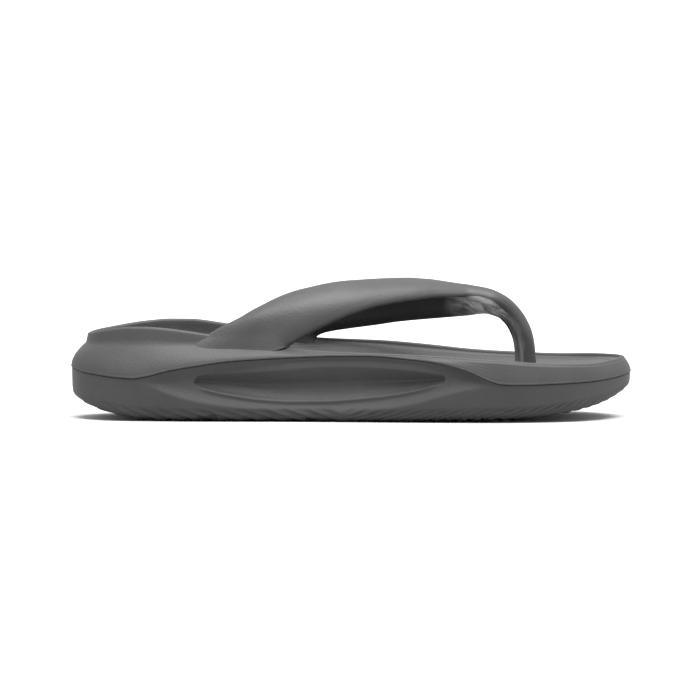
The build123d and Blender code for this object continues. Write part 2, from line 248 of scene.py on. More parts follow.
def make_footbed(columns=720):
    """The upper moulding, row by row from the middle of its underside to the middle of its bed."""
    outline = Outline(columns)
    plan_x = outline.points[:, 0]
    rim_inset = through(RIM_INSET, plan_x)
    rim_width = through(RIM_WIDTH, plan_x)
    rim_line = outline.at(rim_inset)
    rim = by_side(RIM_OUTER, RIM_INNER, rim_line)
    seam = through(SEAM, outline.at(SEAM_INSET)[:, 0])
    rows = []

    def row(inset, z):
        rows.append(lift(outline.at(inset), z))

    # Underside: from the spine out over the tray's floor, up its wall, and out along the seam.
    tray_edge = outline.at(TRAY_INSET)
    for share in (0.6, 0.25):
        rows.append(lift(outline.ring(tray_edge, share), TRAY_FLOOR))
    row(TRAY_INSET, TRAY_FLOOR)
    shelf = np.minimum(seam - GAP, SHELF_HEIGHT)
    row(TRAY_INSET, shelf)
    row(SHELF_INSET, shelf)
    for inset, rise in SEAM_LIP:
        row(inset, seam + rise)
    row(-SEAM_LIP_OVERHANG, seam + SEAM_LIP_TOP)

    # Shoulder, crease and upright wall.
    crease = np.minimum(CREASE_HEIGHT, rim - CREASE_BELOW_RIM)
    upright = np.clip((rim - crease - CREASE_BELOW_RIM) / 8, 0, 1)
    crease_inset = rim_inset - 0.5 - 1.1 * upright
    fullness = 1.5 + 0.3 * (1 - ease(-138, -122, plan_x))
    for step in np.linspace(0, 1, 18)[1:]:
        height = seam + SEAM_LIP_TOP + (crease - seam - SEAM_LIP_TOP) * step
        row(crease_inset * step ** fullness - SEAM_LIP_OVERHANG * (1 - step), height)
    wall_top = np.maximum(rim - WALL_TOP_BELOW_RIM, crease + 0.3)
    wall_foot = np.minimum(crease + 0.7, wall_top)
    for step in np.linspace(0, 1, 7)[1:]:
        inset = crease_inset + (rim_inset - crease_inset) * (0.45 + 0.55 * step)
        row(inset, wall_foot + (wall_top - wall_foot) * step)

    # Rounded rim.
    for angle in np.linspace(0, np.pi, 9)[1:-1]:
        across = (1 - np.cos(angle)) / 2 * rim_width
        row(rim_inset + across, wall_top + (rim - wall_top) * np.sin(angle))

    # Inner wall, down to the bed's edge.
    bed_inset = through(BED_INSET, plan_x)
    bed_edge = outline.at(bed_inset)
    edge_height = bed_height(bed_edge, 1.0)
    wall_start = rim_inset + rim_width
    for angle in np.linspace(0, np.pi / 2, 13):
        row(wall_start + (bed_inset - wall_start) * (1 - np.cos(angle)),
            wall_top - (wall_top - edge_height) * np.sin(angle))

    # Bed: a fine groove just inside its edge, and then on to the spine.
    spans = np.linalg.norm(bed_edge - outline.spine[outline.spine_index], axis=1)
    for away, depth in BED_GROOVE:
        share = away / spans
        ring = outline.ring(bed_edge, share[:, None])
        rows.append(lift(ring, bed_height(ring, 1 - share) - depth))
    for share in np.linspace(0, 1, 26)[4:-1]:
        ring = outline.ring(bed_edge, share)
        rows.append(lift(ring, bed_height(ring, 1 - share)))
    start = lift(outline.spine, TRAY_FLOOR)
    end = lift(outline.spine, bed_height(outline.spine, 0))
    return sole_piece("footbed_moulding", outline, rows, start, end)


# ---- Midsole ---------------------------------------------------------------------------------------
GAP = 0.3  # between the midsole and the footbed, inside
ROLL_HEIGHT = 5.0  # the rounded edge round the ground face
ROLL_INSET = 5.5
LENS_DEPTH = 2.5
OVAL_DEPTH = 4.9
OVAL_DEEPEST = 0.52  # how far up the oval the bowl is deepest
OVAL_LIP = 1.0  # the raised lip along the oval's lower edge
WALL_LEAN = 0.2  # how far the lower wall draws in for each step down, along the sides
WALL_BASE = 0.5
WALL_END_LEAN, WALL_END_BASE = 0.02, 0.2  # the same round the heel and the toe
TREAD_DEPTH = 1.25
TREAD_RISE = 0.86  # the share of each shingle that slopes gently; the rest is its steep face
TREAD_LEAN = 0.4  # how far the grooves run along the sole for each step across it
TREAD_CLIMB = 6.5  # how much faster they run as they climb the side
REAR_PITCH, FRONT_PITCH = 10.8, 6.8
TREAD_CHANGE = -5.0  # the x at which the grooves turn to lean the other way
PAD_PROUD = 0.2  # how far the rubber pads stand below the midsole


def tread(x, y, z):
    """Depth of the shingled, diagonal tread grooves, which wrap up round the edge of the ground face."""
    climbing = y + np.sign(y) * TREAD_CLIMB * np.maximum(z - through(GROUND, x), 0)
    front = x > TREAD_CHANGE
    phase = np.where(front, (x + TREAD_LEAN * climbing) / FRONT_PITCH,
                     (x - TREAD_LEAN * climbing) / REAR_PITCH)
    share = phase - np.floor(phase)
    share = np.where(front, 1 - share, share)
    shingle = np.where(share < TREAD_RISE, share / TREAD_RISE, (1 - share) / (1 - TREAD_RISE))
    shallower = 1 - 0.65 * ease(100, 124, np.abs(x))
    return TREAD_DEPTH * shingle * shallower * (1 - np.exp(-((x - TREAD_CHANGE) / 4) ** 2))


def wall_shape(x):
    """The lower wall's lean and its inset at the top, which both fade out round the heel and the toe."""
    along = 1 - ease(90, 130, np.abs(x))
    lean = WALL_END_LEAN + (WALL_LEAN - WALL_END_LEAN) * along
    return lean, WALL_END_BASE + (WALL_BASE - WALL_END_BASE) * along


def side_lines(x, seam):
    """The lens's ridge and the oval's lower and upper edge, as heights at each x."""
    beside_lens = (x > LENS_LOW[0][0]) & (x < LENS_LOW[-1][0])
    ridge = np.where(beside_lens, np.minimum(through(LENS_LOW, x), seam), seam)
    return ridge, through(OVAL_LOW, x), through(OVAL_HIGH, x)


def side_insets(x, z, seam):
    """How far the midsole's side is drawn in: a leaning wall, the lens hollow and the oval bowl in it."""
    ridge, low, high = side_lines(x, seam)
    lean, base = wall_shape(x)
    height = seam - ridge
    opened = ease(1, 11, height)
    crest = base + lean * np.minimum(height, 8) * (1 - 0.6 * opened)
    below = crest + lean * (ridge - z)
    above = np.maximum(z - ridge, 0)
    hollow = crest + LENS_DEPTH * opened * (1 - np.exp(-(above / 4.5) ** 1.5))
    middle = ease(-70, -30, x) * (1 - ease(40, 56, x))
    hollow = hollow - 2.7 * opened * middle * ease(6, 22, above)
    hollow = hollow + 0.5 * opened * middle * (1 - ease(1.0, 4.8, seam - z))
    # The strip just under the seam comes out again to meet it.
    strip = np.minimum(1.0 + 5.0 * (1 - ease(-70, -22, x)), 0.5 * height)
    share = np.clip((seam - z) / np.maximum(strip, 0.01), 0, 1)
    lens = hollow * share + 0.35 * (1 - share)
    lens = lens + 0.3 * opened * (1 - share) * ease(0, 0.5, seam - z)
    inset = np.where((z > ridge) & (height > 0.05), lens, below)
    # The oval bowl, and the lip along its lower edge.
    within = (x > OVAL_LOW[0][0]) & (x < OVAL_LOW[-1][0])
    tall = np.maximum(high - low, 0.01)
    up = np.clip((z - low) / tall, 0, 1)
    scooped = 1 - np.abs(1 - up / OVAL_DEEPEST) ** 1.1
    overhung = 1 - np.clip((up - OVAL_DEEPEST) / (1 - OVAL_DEEPEST), 0, 1) ** 1.2
    bowl = OVAL_DEPTH * np.minimum(1, tall / 13) ** 0.8 * np.where(up < OVAL_DEEPEST, scooped, overhung)
    lip_share = ease(-80, -72, x) * (1 - ease(38, 47, x))
    lip = OVAL_LIP * lip_share * np.exp(-((z - low - 0.3) / 0.95) ** 2)
    return inset + np.where(within, bowl, 0) - lip


def roll(inset, z, ground):
    """The inset with the rounded edge at the ground added to it."""
    near = np.clip((z - ground) / ROLL_HEIGHT, 0, 1)
    return inset + ROLL_INSET * (1 - np.sqrt(1 - (1 - near) ** 2))


def make_midsole(columns=860):
    """The lower moulding, row by row from the middle of its ground face to the middle of its tray."""
    outline = Outline(columns)
    x = outline.points[:, 0]
    seam = through(SEAM, outline.at(SEAM_INSET)[:, 0])
    rows = []
    lean, base = wall_shape(x)
    ground_edge = outline.at(base + lean * 8 + ROLL_INSET)
    ground_z = through(GROUND, ground_edge[:, 0])

    # Ground face, from the spine out.
    for share in np.linspace(1, 0, 30)[1:]:
        ring = outline.ring(ground_edge, share)
        z = through(GROUND, ring[:, 0])
        rows.append(lift(ring, z + PAD_PROUD + tread(ring[:, 0], ring[:, 1], z)))

    # Side: from the ground up to the seam, with rows along the ridge and the oval's edges.
    ridge, low, high = side_lines(x, seam)
    top = seam - GAP
    tall = top - ground_z
    in_lens = ease(-111, -97, x) * (1 - ease(64, 80, x))
    in_oval = ease(-96, -80, x) * (1 - ease(47, 64, x))
    centre, spread = (low + high) / 2, np.maximum((high - low) / 2, 0.6)
    lines = [ground_z]
    for place, line, inside in ((0.35, ridge, in_lens), (0.55, centre - spread, in_oval),
                                (0.75, centre + spread, in_oval)):
        lines.append((ground_z + place * tall) * (1 - inside) + line * inside)
    for k in range(1, 4):
        lines[k] = np.clip(lines[k], lines[k - 1] + 0.5, top - 0.5 * (4 - k))
    lines.append(top)
    for low_line, high_line, count in zip(lines[:-1], lines[1:], (17, 10, 20, 14)):
        for step in np.linspace(0, 1, count + 1)[1:]:
            z = low_line + (high_line - low_line) * step
            inset = roll(side_insets(x, z, seam), z, ground_z)
            plan = outline.at(inset)
            fade = 1 - ease(4.5, 7.0, z - ground_z)
            groove = tread(plan[:, 0], plan[:, 1], z) * fade
            steep = np.clip((z - ground_z) / ROLL_HEIGHT, 0, 1)
            sunk = PAD_PROUD * (1 - ease(3, 7, z - ground_z))
            rows.append(lift(outline.at(inset + (groove + sunk) * steep), z + (groove + sunk) * (1 - steep)))

    # Up against the footbed: in along the seam and down into the tray.
    shelf = np.minimum(seam - 2 * GAP, SHELF_HEIGHT - GAP)
    meeting = ((1.1, seam - 0.05), (3, seam - 0.15), (SHELF_INSET - 0.3, seam - 0.4), (SHELF_INSET, shelf))
    for inset, z in meeting:
        rows.append(lift(outline.at(inset + GAP), z))
    tray_edge = outline.at(TRAY_INSET + GAP)
    rows.append(lift(tray_edge, shelf))
    rows.append(lift(tray_edge, TRAY_FLOOR - GAP))
    for share in (0.25, 0.6):
        rows.append(lift(outline.ring(tray_edge, share), TRAY_FLOOR - GAP))
    spine_ground = through(GROUND, outline.spine[:, 0])
    spine_tread = tread(outline.spine[:, 0], outline.spine[:, 1], spine_ground)
    start = lift(outline.spine, spine_ground + PAD_PROUD + spine_tread)
    end = lift(outline.spine, TRAY_FLOOR - GAP)
    return sole_piece("midsole_moulding", outline, rows, start, end)


# ---- Tread pads ------------------------------------------------------------------------------------
# Plan outlines, as closed rounds of points.
HEEL_PAD = [(-119, 0), (-106, -20), (-87, -29), (-77, -34.6), (-67.5, -34.9), (-72, -26), (-76, -12),
            (-76, 12), (-72, 24), (-67.5, 31.4), (-77, 31.2), (-87, 27), (-106, 20)]
FOREFOOT_PAD_OUTER = [(-14, 0), (-16, -14), (-22, -29), (-23, -36.6), (-12, -37), (8, -34.6), (35, -38)]
FOREFOOT_PAD_TIP = [(62, -40), (82, -30), (96, 3), (82, 34), (62, 41)]
FOREFOOT_PAD_INNER = [(35, 37), (8, 30), (-12, 32.4), (-23, 31.6), (-22, 26), (-16, 14)]
FOREFOOT_PAD = [*FOREFOOT_PAD_OUTER, *FOREFOOT_PAD_TIP, *FOREFOOT_PAD_INNER]
PAD_THICKNESS = 1.4
PAD_CHAMFER = 0.25
# The lines the pads close on, from one x to the other.
HEEL_PAD_SPINE = (-106, -84)
FOREFOOT_PAD_SPINE = (0, 78)
ROLL_STEPS = 15


def underside(points, sole):
    """Height of the ground face or rolled edge over each point, how far up the roll, and the way out."""
    away = np.linalg.norm(sole.points[None] - points[:, None], axis=2)
    nearest = away.argmin(1)
    inset = away[np.arange(len(points)), nearest]
    x = points[:, 0]
    ground, seam = through(GROUND, x), through(SEAM, x)
    climb = np.zeros(len(points))
    outer = roll(side_insets(x, ground, seam), ground, ground)
    for level in np.linspace(0, ROLL_HEIGHT, ROLL_STEPS + 1)[1:]:
        inner = roll(side_insets(x, ground + level, seam), ground + level, ground)
        share = np.clip((outer - inset) / np.maximum(outer - inner, 1e-6), 0, 1)
        climb += share * ROLL_HEIGHT / ROLL_STEPS
        outer = inner
    return ground + climb, climb / ROLL_HEIGHT, sole.outward[nearest]


def make_pad(points, spine, sole, columns=320):
    """A pad's rows, all of one length: its ground face from the spine out, its edge, and its upper face."""
    points = np.array(points, float)
    chord = np.linalg.norm(np.roll(points, -1, 0) - points, axis=1)
    curve = Outline.periodic_cubic(points, chord)
    dense = curve(np.linspace(0, chord.sum(), 4000, endpoint=False))
    turned = np.arctan2(dense[:, 1] / 40, (dense[:, 0] - np.mean(spine)) / (spine[1] - spine[0]))
    # Evenly turned columns pair up across the spine, so the two halves close on it without a cap.
    angles = (np.arange(columns) + 0.5) / columns * 2 * np.pi - np.pi
    edge = np.stack([np.interp(angles, turned, dense[:, k], period=2 * np.pi) for k in (0, 1)], 1)
    ahead = np.roll(edge, -1, 0) - np.roll(edge, 1, 0)
    inward = np.stack([-ahead[:, 1], ahead[:, 0]], 1) / np.linalg.norm(ahead, axis=1)[:, None]
    middle = np.stack([np.mean(spine) + (spine[1] - spine[0]) / 2 * np.cos(angles), np.zeros(columns)], 1)
    rows = []

    def ring(share, rise, drawn_in=0.0):
        plan = (edge + inward * drawn_in) * (1 - share) + middle * share
        z, climb, outward = underside(plan, sole)
        groove = tread(plan[:, 0], plan[:, 1], z)
        plan = plan + outward * (ease(0.02, 0.4, climb) * (PAD_PROUD - rise))[:, None]
        rows.append(lift(plan, z + groove + rise))

    # The edge of the ground face is chamfered.
    for share in np.linspace(1, 0, 30)[:-1]:
        ring(share, 0.0)
    ring(0.0, 0.0, PAD_CHAMFER)
    ring(0.0, PAD_CHAMFER)
    for share in (0.0, 0.3, 0.6, 1.0):
        ring(share, PAD_THICKNESS)
    return rows


def closed_piece(name, points, faces):
    """An object whose patches are joined where their edge points coincide."""
    mesh = bpy.data.meshes.new(name)
    mesh.from_pydata((points * MM).tolist(), [], faces)
    work = bmesh.new()
    work.from_mesh(mesh)
    bmesh.ops.remove_doubles(work, verts=work.verts, dist=MERGE_DISTANCE)
    bmesh.ops.recalc_face_normals(work, faces=work.faces)
    work.to_mesh(mesh)
    work.free()
    mesh.polygons.foreach_set("use_smooth", [True] * len(mesh.polygons))
    piece = bpy.data.objects.new(name, mesh)
    bpy.context.collection.objects.link(piece)
    return piece


def pad_piece(name, rows):
    """A pad from its rows, closed on the spine."""
    columns = len(rows[0])
    column = np.arange(columns)
    following = (column + 1) % columns
    faces = []
    for k in range(len(rows) - 1):
        faces += np.stack([k * columns + column, k * columns + following, (k + 1) * columns + following,
                           (k + 1) * columns + column], 1).tolist()
    return closed_piece(name, np.concatenate(rows), faces)


# ---- Strap -----------------------------------------------------------------------------------------
# The arched form the strap's outer face follows, one row a station: x, then (y, z) over the foot.
ARCH = [
    (-95, [(-33.4, 31), (-31.6, 36.5), (-30.6, 41.5), (-27, 55.5), (0, 65), (24, 57), (29, 45), (30, 20)]),
    (-78, [(-34.4, 31), (-33.4, 36.6), (-32.7, 41.5), (-29.6, 53.5), (0, 66), (24.5, 57), (29.5, 45),
           (30.5, 20)]),
    (-60, [(-34.8, 31), (-33.7, 36.5), (-33, 42), (-31.3, 53), (0, 67), (25, 57), (30, 45), (31, 20)]),
    (-30, [(-38, 31), (-36.6, 36.4), (-35.4, 43), (-31.2, 58), (0, 71.4), (23, 61.5), (31, 45), (32, 20)]),
    (0, [(-38, 20), (-36.4, 38), (-34.2, 50), (-21.4, 66), (2, 72.4), (20, 65.3), (30, 49), (33, 20)]),
    (30, [(-37, 20), (-32.3, 40), (-27, 53), (-11, 66.7), (7, 71), (20, 65.2), (29, 51), (33, 20)]),
    (60, [(-26, 20), (-18.5, 42), (-12, 53), (-2, 63.3), (12, 67.1), (21, 61.3), (26, 49), (29, 20)]),
]
STRAP_HALF = 3.6  # how far inside the arched form the strap's middle surface lies
REAR_ROUNDING = 9  # how many samples of the curve over the foot the rounded rear edges reach on
# The arms' lower edges in side view: x, then height.
OUTER_EDGE = [(-99, 31), (-60, 32), (-48, 33), (-40, 34.8), (-33, 37.4), (-26, 41.4), (-16, 46.8), (0, 53.8),
              (15, 58.2), (30, 60.4), (45, 61.8), (60, 61.7)]
INNER_EDGE = [(-95, 33), (-22.5, 33), (-20, 36.4), (-17, 40), (-13, 41.6), (0, 43.8), (12, 45.4),
              (24, 47.2), (36, 48.4), (48, 49.5), (60, 50.6)]
# The outer arm's rear edge where it stands like a wall: x, then height.
OUTER_REAR_LOW = [(-90, 34), (-84, 37.6), (-79, 40.4), (-73, 43.5), (-69.4, 45.7), (-65.8, 47.9),
                  (-60.7, 50.3), (-56.6, 52), (-52.6, 54), (-48.5, 56.1), (-44.4, 57.9), (-40.4, 59.7),
                  (-32.2, 62.9), (-24, 65.6)]
# The arms' rear edges, up to the crotch between them: x, then (y, z) that the edge passes nearest to.
OUTER_REAR = [(-54, -25.5, 53.6), (-45.5, -23, 58.5), (-37, -20.5, 61.8), (-29, -18, 64.2), (-21, -15.5, 66),
              (-13, -12.5, 67.4), (0, -7.5, 68), (14, -0.5, 67.6), (24, 5.2, 67), (29, 8, 66.6)]
INNER_REAR = [(-68, 28, 37), (-62, 27.5, 41), (-56, 27, 45), (-45, 25, 51), (-35, 23.5, 55.5),
              (-25, 22.5, 59), (-18, 21.6, 60.6), (-5, 20, 61.6), (12, 17.6, 63.4), (22, 16.2, 64),
              (29, 14.6, 65)]
CROTCH = (33.0, 11.2)  # x and y of the point where the arms meet
CLOSING_FROM = 29.0  # the x from which the rear edges turn in to meet there
OUTER_ROOT, INNER_ROOT = -88, -66  # the x at which each arm starts, inside the sole
SHOULDER_TOP = 37.6  # edges below this height are inside the sole and stay unrounded
# Toe post, one row a section of its middle surface: outer edge, front of the middle, inner edge.
POST_ROWS = [
    [(72, 1.6, 59.6), (73, 11.2, 60), (71.5, 17.2, 51.8)],
    [(79.6, 6, 52), (79.8, 11.8, 54.2), (78.3, 17, 49)],
    [(84.6, 7.3, 41.4), (85.8, 12, 42.8), (84.1, 16.8, 40)],
    [(87, 7.3, 29), (87.6, 12, 29.2), (87, 16.7, 29)],
    [(87.4, 7.3, 16), (88, 12, 16), (87.4, 16.7, 16)],
]
# How far in from a free edge the rounding reaches: outer face, underside, both on the toe post, and how much
# more the outer face's is towards the outer arm's root.
OUTER_ROUNDING, UNDER_ROUNDING, POST_ROUNDING, ROOT_ROUNDING = 9.0, 7.0, 4.9, 2.0
# Along the strap: how far its outer face and its underside stand off the middle surface. Past the place
# where the arms join, the key goes on as a length along the strap rather than as x.
OUTER_BULGE = [(-80, 3.7), (-40, 4.1), (20, 4.1), (60, 3.6), (73, 3.7), (82, 4.9), (92, 6.1), (106, 6.8),
               (120, 6.8)]
UNDER_BULGE = [(-80, 3.6), (20, 3.2), (55, 3.2), (66, 4), (73, 5.6), (82, 5.8), (92, 4.6), (106, 3.9),
               (120, 3.9)]


def fine_spline(points, samples):
    """A curve through points, by centripetal Catmull-Rom, at even steps along it."""
    points = np.array(points, float)
    ends = [2 * points[0] - points[1], *points, 2 * points[-1] - points[-2]]
    dense = []
    for a, b, c, d in zip(ends[:-3], ends[1:-2], ends[2:-1], ends[3:]):
        t0 = 0.0
        t1 = t0 + np.linalg.norm(b - a) ** 0.5
        t2 = t1 + np.linalg.norm(c - b) ** 0.5
        t3 = t2 + np.linalg.norm(d - c) ** 0.5
        t = np.linspace(t1, t2, 24, endpoint=False)[:, None]
        ab = (t1 - t) / (t1 - t0) * a + (t - t0) / (t1 - t0) * b
        bc = (t2 - t) / (t2 - t1) * b + (t - t1) / (t2 - t1) * c
        cd = (t3 - t) / (t3 - t2) * c + (t - t2) / (t3 - t2) * d
        abc = (t2 - t) / (t2 - t0) * ab + (t - t0) / (t2 - t0) * bc
        bcd = (t3 - t) / (t3 - t1) * bc + (t - t1) / (t3 - t1) * cd
        dense.append((t2 - t) / (t2 - t1) * abc + (t - t1) / (t2 - t1) * bcd)
    dense = np.concatenate([*dense, points[-1:]])
    run = np.concatenate([[0], np.cumsum(np.linalg.norm(np.diff(dense, axis=0), axis=1))])
    at = np.linspace(0, run[-1], samples)
    return np.stack([np.interp(at, run, dense[:, k]) for k in range(dense.shape[1])], 1)


def arch_at(x):
    """The middle surface's curve over the foot at x, from the outer to the inner side, as (y, z)."""
    stations = [row[0] for row in ARCH]
    shape = np.array([row[1] for row in ARCH], float)
    points = [[through(list(zip(stations, shape[:, k, axis])), np.array([x]))[0] for axis in (0, 1)]
              for k in range(shape.shape[1])]
    curve = fine_spline(points, 500)
    ahead = np.gradient(curve, axis=0)
    ahead /= np.linalg.norm(ahead, axis=1)[:, None]
    return curve + np.stack([ahead[:, 1], -ahead[:, 0]], 1) * STRAP_HALF


def cut(curve, x, first, last, spread):
    """The part of a curve at x between two places on it, sampled at the shares of the way in spread."""
    at = np.interp(spread, [0, 1], [first, last])
    index = np.arange(len(curve))
    y, z = np.interp(at, index, curve[:, 0]), np.interp(at, index, curve[:, 1])
    return np.stack([np.full(len(spread), x), y, z], 1)


def side_place(curve, z, inner):
    """Where on the curve height z is crossed, on the outer or the inner side."""
    top = int(np.argmax(curve[:, 1]))
    if inner:
        return np.interp(-z, -curve[top:, 1], np.arange(top, len(curve)))
    return np.interp(z, curve[:top + 1, 1], np.arange(top + 1))


def nearest_place(curve, line, x):
    """Where the curve comes nearest to a line of (x, y, z) points."""
    target = np.array([through([(row[0], row[axis]) for row in line], np.array([x]))[0] for axis in (1, 2)])
    away = np.linalg.norm(curve - target, axis=1)
    best = int(np.clip(np.argmin(away), 1, len(curve) - 2))
    before, here, after = away[best - 1:best + 2] ** 2
    return best + 0.5 * (before - after) / max(before - 2 * here + after, 1e-9)


def strap_lattice():
    """Rows of the two arms' middle surface, and of the joined front, from the roots to the post's end."""
    across = 34
    spread = (1 - np.cos(np.pi * np.linspace(0, 1, across))) / 2
    tip = CROTCH[0]
    open_x = np.concatenate([np.arange(OUTER_ROOT, 25, 1.25), tip - 8 * np.linspace(1, 0, 12)[:-1] ** 2])
    open_x = np.unique(np.round(open_x, 4))
    outer_arm, inner_arm = [], []
    for x in open_x:
        curve = arch_at(x)
        at_x = np.array([x])
        closing = np.sqrt(max(0.0, (tip - x) / (tip - CLOSING_FROM))) if x > CLOSING_FROM else 1.0
        meeting = np.interp(CROTCH[1], curve[:, 0], np.arange(len(curve)))
        low_share = 1 - ease(-48, -24, x)
        rear_outer = nearest_place(curve, OUTER_REAR, x) + REAR_ROUNDING
        if low_share > 0:
            upright = side_place(curve, through(OUTER_REAR_LOW, at_x)[0], False)
            rear_outer = rear_outer * (1 - low_share) + upright * low_share
        rear_outer = rear_outer * closing + meeting * (1 - closing)
        rear_inner = (nearest_place(curve, INNER_REAR, x) - REAR_ROUNDING) * closing + meeting * (1 - closing)
        low_outer = side_place(curve, through(OUTER_EDGE, at_x)[0], False)
        low_inner = side_place(curve, through(INNER_EDGE, at_x)[0], True)
        outer_arm.append(cut(curve, x, low_outer, rear_outer, spread))
        if x > INNER_ROOT:
            inner_arm.append(cut(curve, x, rear_inner, low_inner, spread))
    joined_controls = []
    joined_x = [tip, 38, 44, 50, 56, 60]
    for x in joined_x:
        curve = arch_at(x)
        at_x = np.array([x])
        low_outer = side_place(curve, through(OUTER_EDGE, at_x)[0], False)
        low_inner = side_place(curve, through(INNER_EDGE, at_x)[0], True)
        middle = np.interp(CROTCH[1] + 0.4 * (x - tip) / 10, curve[:, 0], np.arange(len(curve)))
        outer = cut(curve, x, low_outer, middle, spread)
        inner = cut(curve, x, middle, low_inner, spread)
        joined_controls.append(np.concatenate([outer, inner[1:]]))
    for outer_edge, front, inner_edge in POST_ROWS:
        bow = fine_spline([outer_edge, front, inner_edge], 201)
        index = np.arange(201)
        at = np.concatenate([spread * 100, 100 + spread[1:] * 100])
        joined_controls.append(np.stack([np.interp(at, index, bow[:, k]) for k in range(3)], 1))
    controls = np.array(joined_controls)
    columns = [fine_spline(controls[:, k], 90) for k in range(controls.shape[1])]
    joined = np.stack(columns, 1)
    return np.array(outer_arm), np.array(inner_arm), joined


def make_strap():
    """Both arms and the toe post: the middle surface thickened both ways, with rounded free edges."""
    outer_arm, inner_arm, joined = strap_lattice()
    across = outer_arm.shape[1]
    left = np.concatenate([outer_arm, joined[:, :across]])
    right = np.concatenate([inner_arm, joined[:, across - 1:]])
    split_left, split_right = len(outer_arm), len(inner_arm)
    # Free edges, for the distance that the rounding goes by.
    free = [edge[(edge[:, 2] > SHOULDER_TOP) | (edge[:, 0] > 60)] for edge in (left[:, 0], right[:, -1])]
    free = np.concatenate([*free, outer_arm[:, -1], inner_arm[:, 0]])

    def normals(grid):
        along = np.gradient(grid, axis=0)
        over = np.gradient(grid, axis=1)
        out = np.cross(along, over)
        return out / np.maximum(np.linalg.norm(out, axis=2), 1e-9)[:, :, None]

    def faces_of(grid_normals, grid, split, joint):
        reach = np.empty(grid.shape[:2])
        for i, row in enumerate(grid):
            near = free[np.abs(free[:, 0] - row[:, 0].mean()) < 30]
            reach[i] = np.linalg.norm(row[:, None] - near[None], axis=2).min(1)
        run = np.where(np.arange(len(grid)) < split, grid[:, :, 0].mean(1), 0)
        for i in range(split, len(grid)):
            run[i] = run[i - 1] + np.linalg.norm(grid[i, joint] - grid[i - 1, joint])
        outer_half = np.clip(OUTER_ROUNDING - (run - 60) * 0.17, POST_ROUNDING, OUTER_ROUNDING)
        outer_half = (outer_half + ROOT_ROUNDING * (1 - ease(-70, -45, run)))[:, None]
        share = 1 - np.clip(reach / outer_half, 0, 1)
        boxy = ease(80, 100, run)[:, None]
        top = through(OUTER_BULGE, run)[:, None] * (1 - share ** 2) ** (0.55 - 0.25 * boxy)
        under_half = np.clip(UNDER_ROUNDING - (run - 60) * 0.1, POST_ROUNDING, UNDER_ROUNDING)[:, None]
        share = 1 - np.clip(reach / under_half, 0, 1)
        under = through(UNDER_BULGE, run)[:, None] * (1 - share ** 2) ** (0.8 + 0.3 * boxy)
        return grid + grid_normals * top[:, :, None], grid - grid_normals * under[:, :, None]

    left_normals, right_normals = normals(left), normals(right)
    shared = left_normals[split_left:, -1] + right_normals[split_right:, 0]
    shared /= np.linalg.norm(shared, axis=1)[:, None]
    left_normals[split_left:, -1] = shared
    right_normals[split_right:, 0] = shared
    left_faces = faces_of(left_normals, left, split_left, -1)
    right_faces = faces_of(right_normals, right, split_right, 0)
    for near, far in zip(left_faces, right_faces):
        middle = (near[split_left:, -1] + far[split_right:, 0]) / 2
        near[split_left:, -1] = middle
        far[split_right:, 0] = middle
    points, faces = [], []

    def sheet(grid, flip):
        rows, wide = grid.shape[:2]
        base = sum(len(p) for p in points)
        points.append(grid.reshape(-1, 3))
        number = base + np.arange(rows * wide).reshape(rows, wide)
        quads = np.stack([number[:-1, :-1], number[1:, :-1], number[1:, 1:], number[:-1, 1:]], 2)
        quads = quads.reshape(-1, 4)
        faces.append(quads[:, ::-1] if flip else quads)
        return number

    for (top, under), split, free_low in ((left_faces, split_left, True), (right_faces, split_right, False)):
        a = sheet(top, False)
        b = sheet(under, True)
        borders = [(a[0, :], b[0, :]), (a[::-1][0, ::-1], b[::-1][0, ::-1])]
        if free_low:
            borders += [(a[::-1, 0], b[::-1, 0]), (a[:split + 1, -1], b[:split + 1, -1])]
        else:
            borders += [(a[:, -1], b[:, -1]), (a[:split + 1, 0][::-1], b[:split + 1, 0][::-1])]
        for upper, lower in borders:
            faces.append(np.stack([upper[1:], upper[:-1], lower[:-1], lower[1:]], 1))
    return closed_piece("strap_moulding", np.concatenate(points), np.concatenate(faces).tolist())


# ---- Materials -------------------------------------------------------------------------------------
FOAM_SPECULAR = 0.26
STRAP_ROUGHNESS = 0.52
# In metres: where along x the strap's polished skin and its painted highlight set in, and the heights between
# which that painted highlight grows paler.
POLISH_AND_HIGHLIGHT_START, POLISH_AND_HIGHLIGHT_FULL = 0.047, 0.062
PAINTED_HIGHLIGHT_START, PAINTED_HIGHLIGHT_FULL = 0.048, 0.056


def foam(name, shade, grain, rough):
    """A matt moulded skin: a faint cloudiness in its grey, and a fine grain."""
    material = bpy.data.materials.new(name)
    material.use_nodes = True
    nodes, links = material.node_tree.nodes, material.node_tree.links
    shader = nodes["Principled BSDF"]
    shader.inputs["Roughness"].default_value = rough
    shader.inputs["Specular IOR Level"].default_value = FOAM_SPECULAR
    place = nodes.new("ShaderNodeTexCoord")
    mottle = nodes.new("ShaderNodeTexNoise")
    mottle.inputs["Scale"].default_value = 90
    mottle.inputs["Detail"].default_value = 6
    links.new(place.outputs["Object"], mottle.inputs["Vector"])
    tint = nodes.new("ShaderNodeValToRGB")
    tint.color_ramp.elements[0].position = 0.3
    tint.color_ramp.elements[1].position = 0.7
    tint.color_ramp.elements[0].color = (*[shade * 0.93] * 3, 1)
    tint.color_ramp.elements[1].color = (*[shade * 1.07] * 3, 1)
    links.new(mottle.outputs["Fac"], tint.inputs["Fac"])
    links.new(tint.outputs["Color"], shader.inputs["Base Color"])
    skin = nodes.new("ShaderNodeTexNoise")
    skin.inputs["Scale"].default_value = grain
    skin.inputs["Detail"].default_value = 3
    links.new(place.outputs["Object"], skin.inputs["Vector"])
    bump = nodes.new("ShaderNodeBump")
    bump.inputs["Strength"].default_value = 0.38
    bump.inputs["Distance"].default_value = 0.0004
    links.new(skin.outputs["Fac"], bump.inputs["Height"])
    links.new(bump.outputs["Normal"], shader.inputs["Normal"])
    return material


